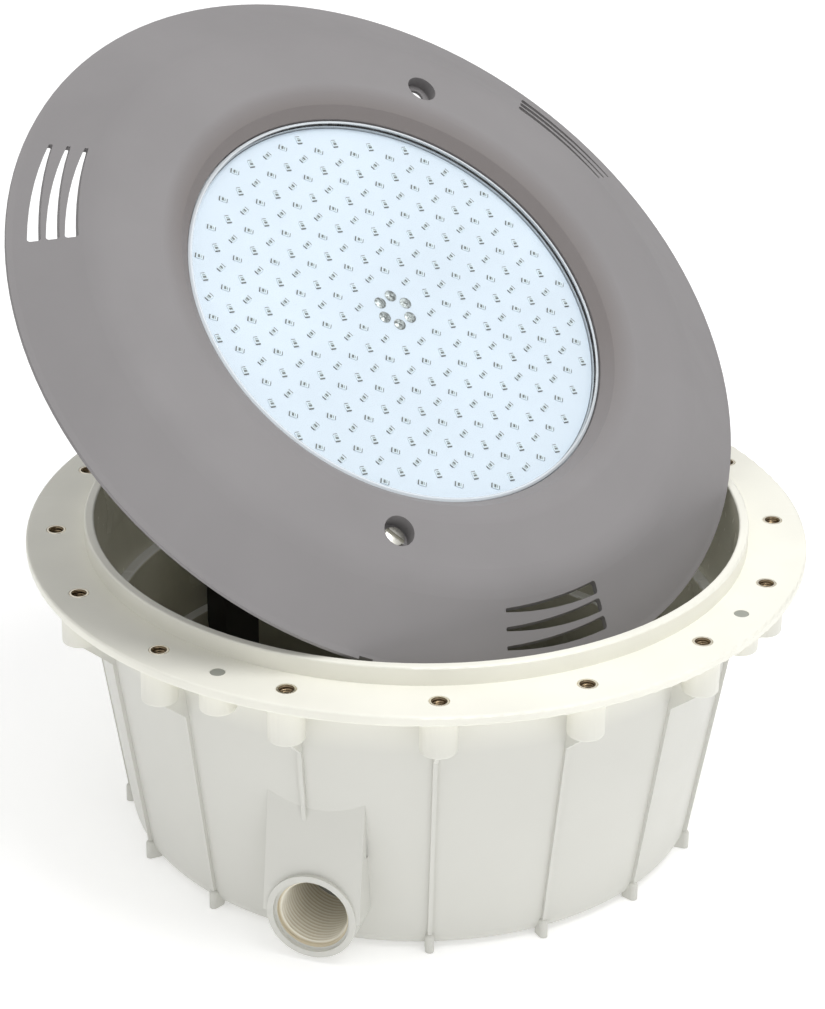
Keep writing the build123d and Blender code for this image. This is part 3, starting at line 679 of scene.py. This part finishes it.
def terminals():
    """The ring of solder joints in the middle of the board, each a little different."""
    joined = bmesh.new()
    out = Matrix.Translation((TERMINAL_CIRCLE_R, 0, BOARD_TOP))
    for k in range(TERMINAL_COUNT):
        angle = TERMINAL_START + 360 / TERMINAL_COUNT * k
        one = copies(terminal_mesh(k), [turn_z(angle) @ out])
        mesh = bpy.data.meshes.new("copy")
        one.to_mesh(mesh)
        one.free()
        joined.from_mesh(mesh)
        bpy.data.meshes.remove(mesh)
    surfaces = [MATERIALS["solder"]]
    replaced = ["board_terminals"]
    finish_piece("terminal_joints", joined, light_matrix(), surfaces, "light", replaced, 60)


def half_ring(radius, gap, z, side):
    """D-shaped ring of points: the part of a circle beyond a gap, on one side of it."""
    steps = 24
    start = asin(gap / radius)
    angles = [start + (pi - 2 * start) * k / steps for k in range(steps + 1)]
    return [Vector((side * radius * cos(a), side * radius * sin(a), z)) for a in angles]


def face_screw():
    """Slotted cheese-head screw with an M6 thread on its far half."""
    bm = bmesh.new()
    segments = 48
    floor_z = HEAD_H * 0.5
    thread_top = -SHANK_L * SHANK_THREAD_START
    thread_end = -SHANK_L + 0.9 * MM
    root_r = SHANK_R - SHANK_THREAD_DEPTH
    rows = [circle(0.2 * MM, -SHANK_L, segments), circle(SHANK_R - 0.9 * MM, -SHANK_L, segments)]
    rows += reversed(thread_rows(SHANK_R, root_r, SHANK_THREAD_PITCH, thread_top, thread_end, segments))
    rows += [
        circle(SHANK_R - 0.05 * MM, thread_top + 0.3 * MM, segments),
        circle(SHANK_R - 0.05 * MM, 0, segments),
        circle(HEAD_R - 0.2 * MM, 0, segments),
        circle(HEAD_R, 0.2 * MM, segments),
        circle(HEAD_R, floor_z, segments),
    ]
    made = skin(bm, rows)
    bm.faces.new(made[0])
    bm.faces.new(made[-1])
    gap = SLOT_HALF_W
    for side in (-1, 1):
        halves = [
            half_ring(HEAD_R, gap, floor_z - 0.05 * MM, side),
            half_ring(HEAD_R, gap, HEAD_H - 0.45 * MM, side),
            half_ring(HEAD_R - 0.18 * MM, gap + 0.04 * MM, HEAD_H - 0.15 * MM, side),
            half_ring(HEAD_R - 0.50 * MM, gap + 0.12 * MM, HEAD_H, side),
        ]
        made = skin(bm, halves)
        bm.faces.new(made[0])
        bm.faces.new(made[-1])
    angle = radians(90 - SCREW_ANGLE)
    seat = Matrix.Translation((SCREW_CIRCLE_R * cos(angle), SCREW_CIRCLE_R * sin(angle), SCREW_SEAT_Z))
    place = light_matrix() @ seat @ turn_z(SCREW_SLOT_TURN)
    surfaces = [MATERIALS["stainless"]]
    finish_piece("slotted_face_screw", bm, place, surfaces, "screw", ["face_screw"], 30)


inserts()
face_screw()
port_thread()
leds()
terminals()


# --- Floor, light and camera -----------------------------------------------------------------------
def floor():
    """Wide white paper just under the niche, glowing a little."""
    bm = bmesh.new()
    z = -NICHE_DEPTH - FLOOR_GAP
    signs = ((-1, -1), (1, -1), (1, 1), (-1, 1))
    bm.faces.new([bm.verts.new((x * FLOOR_HALF, y * FLOOR_HALF, z)) for x, y in signs])
    mesh = bpy.data.meshes.new("floor")
    bm.to_mesh(mesh)
    bm.free()
    surface = Surface("floor_paper", (0.85, 0.85, 0.85), 0.9)
    cloud = surface.spread(surface.noise(3, 2), 0.3, 0.7)
    surface.colour(surface.mix(cloud, (0.93, 0.93, 0.93), (0.95, 0.95, 0.95)))
    surface.shader.inputs["Emission Color"].default_value = (1, 1, 1, 1)
    surface.shader.inputs["Emission Strength"].default_value = 0.30
    mesh.materials.append(surface.material)
    plane = bpy.data.objects.new("floor", mesh)
    bpy.context.scene.collection.objects.link(plane)


def area_light(name, place, target, size, power):
    """Round soft light aimed at a point."""
    data = bpy.data.lights.new(name, "AREA")
    data.shape = "DISK"
    data.size = size
    data.energy = power
    lamp = bpy.data.objects.new(name, data)
    lamp.location = place
    lamp.rotation_euler = (Vector(target) - Vector(place)).to_track_quat("-Z", "Y").to_euler()
    bpy.context.scene.collection.objects.link(lamp)


def world():
    """Soft sky of a studio: bright overhead, dimmer towards the horizon."""
    sky = bpy.data.worlds.new("studio")
    sky.use_nodes = True
    tree = sky.node_tree
    parts = tree.nodes.new("ShaderNodeSeparateXYZ")
    tree.links.new(tree.nodes.new("ShaderNodeTexCoord").outputs["Generated"], parts.inputs[0])
    level = tree.nodes.new("ShaderNodeMapRange")
    tree.links.new(parts.outputs["Z"], level.inputs["Value"])
    level.inputs["From Min"].default_value = 0.0
    level.inputs["From Max"].default_value = SKY_FULL_AT
    level.inputs["To Min"].default_value = SKY_LOW
    level.inputs["To Max"].default_value = SKY_HIGH
    tree.links.new(level.outputs["Result"], tree.nodes["Background"].inputs["Strength"])
    tree.nodes["Background"].inputs["Color"].default_value = (1.0, 1.0, 1.0, 1)
    bpy.context.scene.world = sky


def camera():
    """Camera that looks level to the front, pitched down and rolled a little."""
    data = bpy.data.cameras.new("camera")
    data.lens = CAMERA_LENS
    data.clip_start = 0.01
    view = bpy.data.objects.new("camera", data)
    forward = Vector((0, cos(CAMERA_PITCH), -sin(CAMERA_PITCH)))
    down = Vector((0, -sin(CAMERA_PITCH), -cos(CAMERA_PITCH)))
    right = cos(CAMERA_ROLL) * Vector((1, 0, 0)) + sin(CAMERA_ROLL) * down
    up = right.cross(forward)
    matrix = Matrix((right, up, -forward)).transposed().to_4x4()
    matrix.translation = Vector(CAMERA_PLACE)
    view.matrix_world = matrix
    bpy.context.scene.collection.objects.link(view)
    bpy.context.scene.camera = view


floor()
world()
area_light("key", KEY_LIGHT, (0.02, 0, 0), 0.8, 10)
area_light("fill", FILL_LIGHT, (0, 0, 0), 1.0, 1.5)
camera()
bpy.context.scene.view_settings.view_transform = "Standard"
